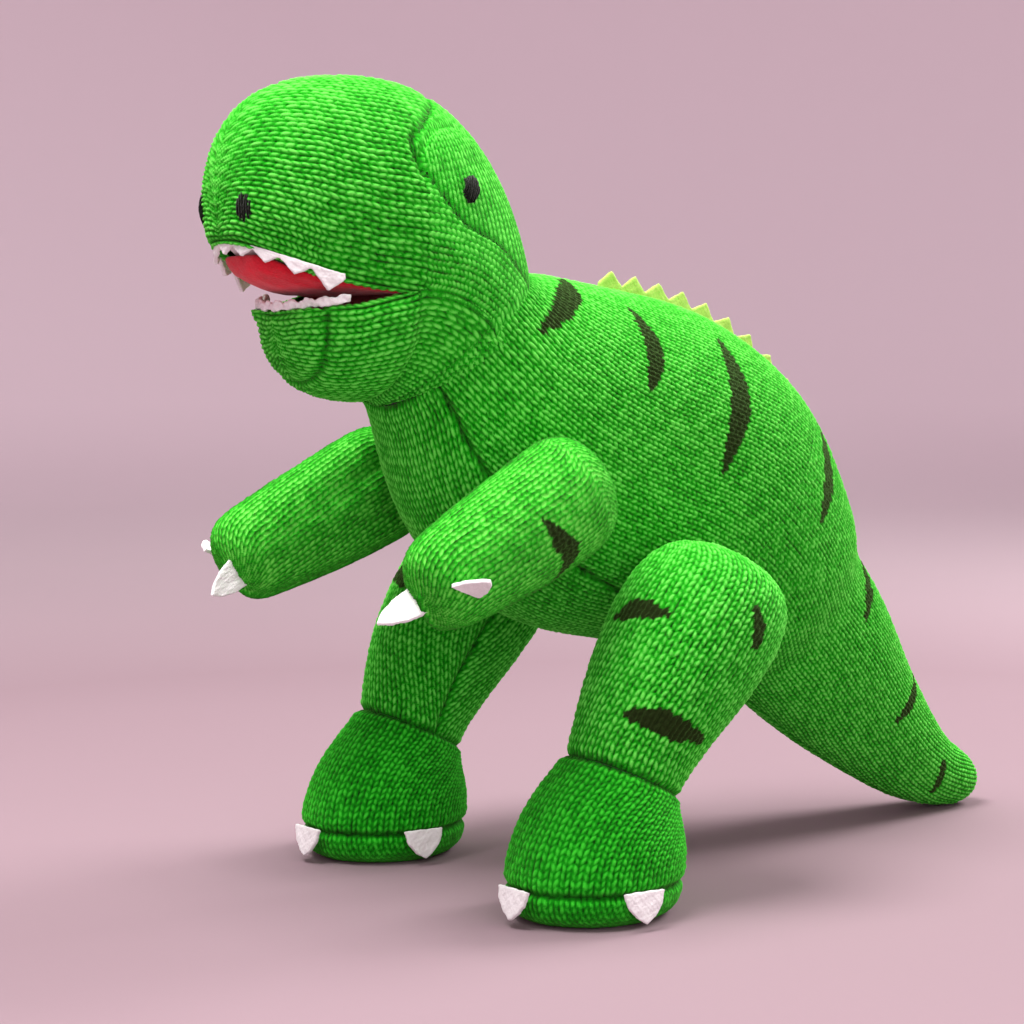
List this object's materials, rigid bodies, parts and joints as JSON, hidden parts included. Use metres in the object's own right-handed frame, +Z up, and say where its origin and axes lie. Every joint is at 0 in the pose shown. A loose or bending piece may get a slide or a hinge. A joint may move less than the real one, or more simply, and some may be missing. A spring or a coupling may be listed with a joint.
{
  "type": "stuffed dinosaur",
  "caption": "Knitted stuffed tyrannosaur standing on its hind feet and tail tip, with felt teeth, claws and back spikes, an open mouth, and head, jaw, limbs and tail that turn at their seams.",
  "frame": {"origin": "bottom centre of the bounding box, on the surface it stands on", "axes": "+Z up, the toy faces -Y with its tail along +Y, its left side is +X"},
  "size_m": [0.179, 0.3399, 0.2663],
  "materials": {
    "green_knit": "chunky stocking-stitch knit, matt and slightly fluffy",
    "light_green_knit": "chunky stocking-stitch knit, matt and slightly fluffy",
    "deep_green_knit": "chunky stocking-stitch knit, matt and slightly fluffy",
    "lime_felt": "thin matt felt",
    "white_felt": "thin matt felt with a fluffy edge",
    "red_felt": "thin matt felt",
    "dark_red_felt": "thin matt felt",
    "black_thread": "close satin embroidery",
    "fibrefill": "matt polyester filling, not seen"
  },
  "bodies": {
    "torso": {"left_flank": "green_knit", "right_flank": "green_knit", "chest_panel": "green_knit", "torso_stuffing": "fibrefill", "back_spikes": "lime_felt"},
    "head": {"snout_skin": "green_knit", "head_back_skin": "light_green_knit", "head_stuffing": "fibrefill", "palate_lining": "red_felt", "upper_teeth": "white_felt", "left_eye": "black_thread", "right_eye": "black_thread", "left_nostril": "black_thread", "right_nostril": "black_thread"},
    "jaw": {"jaw_skin": "green_knit", "jaw_stuffing": "fibrefill", "mouth_floor_lining": "dark_red_felt", "lower_teeth": "white_felt"},
    "tail": {"tail_skin": "green_knit", "tail_stuffing": "fibrefill"},
    "left_arm": {"left_arm_skin": "light_green_knit", "left_arm_stuffing": "fibrefill", "left_hand_inner_claw": "white_felt", "left_hand_outer_claw": "white_felt"},
    "left_leg": {"left_leg_skin": "green_knit", "left_foot_skin": "deep_green_knit", "left_sole": "deep_green_knit", "left_leg_stuffing": "fibrefill", "left_toe_inner_claw": "white_felt", "left_toe_middle_claw": "white_felt", "left_toe_outer_claw": "white_felt"},
    "right_arm": {"right_arm_skin": "light_green_knit", "right_arm_stuffing": "fibrefill", "right_hand_inner_claw": "white_felt", "right_hand_outer_claw": "white_felt"},
    "right_leg": {"right_leg_skin": "green_knit", "right_foot_skin": "deep_green_knit", "right_sole": "deep_green_knit", "right_leg_stuffing": "fibrefill", "right_toe_inner_claw": "white_felt", "right_toe_middle_claw": "white_felt", "right_toe_outer_claw": "white_felt"}
  },
  "joints": [
    {"name": "neck_turn", "type": "hinge", "parent": "torso", "child": "head", "pos_m": [0, -0.08215, 0.184], "axis": [0, -0.6626, 0.749], "range_deg": [-12, 12], "stiffness_Nm_per_rad": 0.15},
    {"name": "jaw_hinge", "type": "hinge", "parent": "head", "child": "jaw", "pos_m": [0, -0.11515, 0.197], "axis": [1, 0, 0], "range_deg": [-5, 4], "stiffness_Nm_per_rad": 0.05},
    {"name": "tail_swing", "type": "hinge", "parent": "torso", "child": "tail", "pos_m": [0, 0.06285, 0.088], "axis": [0, 0, 1], "range_deg": [-12, 12], "stiffness_Nm_per_rad": 0.2},
    {"name": "left_shoulder", "type": "hinge", "parent": "torso", "child": "left_arm", "pos_m": [0.052, -0.07115, 0.134], "axis": [1, 0, 0], "range_deg": [-35, 20], "stiffness_Nm_per_rad": 0.1},
    {"name": "left_hip", "type": "hinge", "parent": "torso", "child": "left_leg", "pos_m": [0.06, -0.02515, 0.09], "axis": [1, 0, 0], "range_deg": [-15, 15], "stiffness_Nm_per_rad": 1},
    {"name": "right_shoulder", "type": "hinge", "parent": "torso", "child": "right_arm", "pos_m": [-0.052, -0.07115, 0.134], "axis": [1, 0, 0], "range_deg": [-35, 20], "stiffness_Nm_per_rad": 0.1},
    {"name": "right_hip", "type": "hinge", "parent": "torso", "child": "right_leg", "pos_m": [-0.06, -0.02515, 0.09], "axis": [1, 0, 0], "range_deg": [-15, 15], "stiffness_Nm_per_rad": 1}
  ]
}
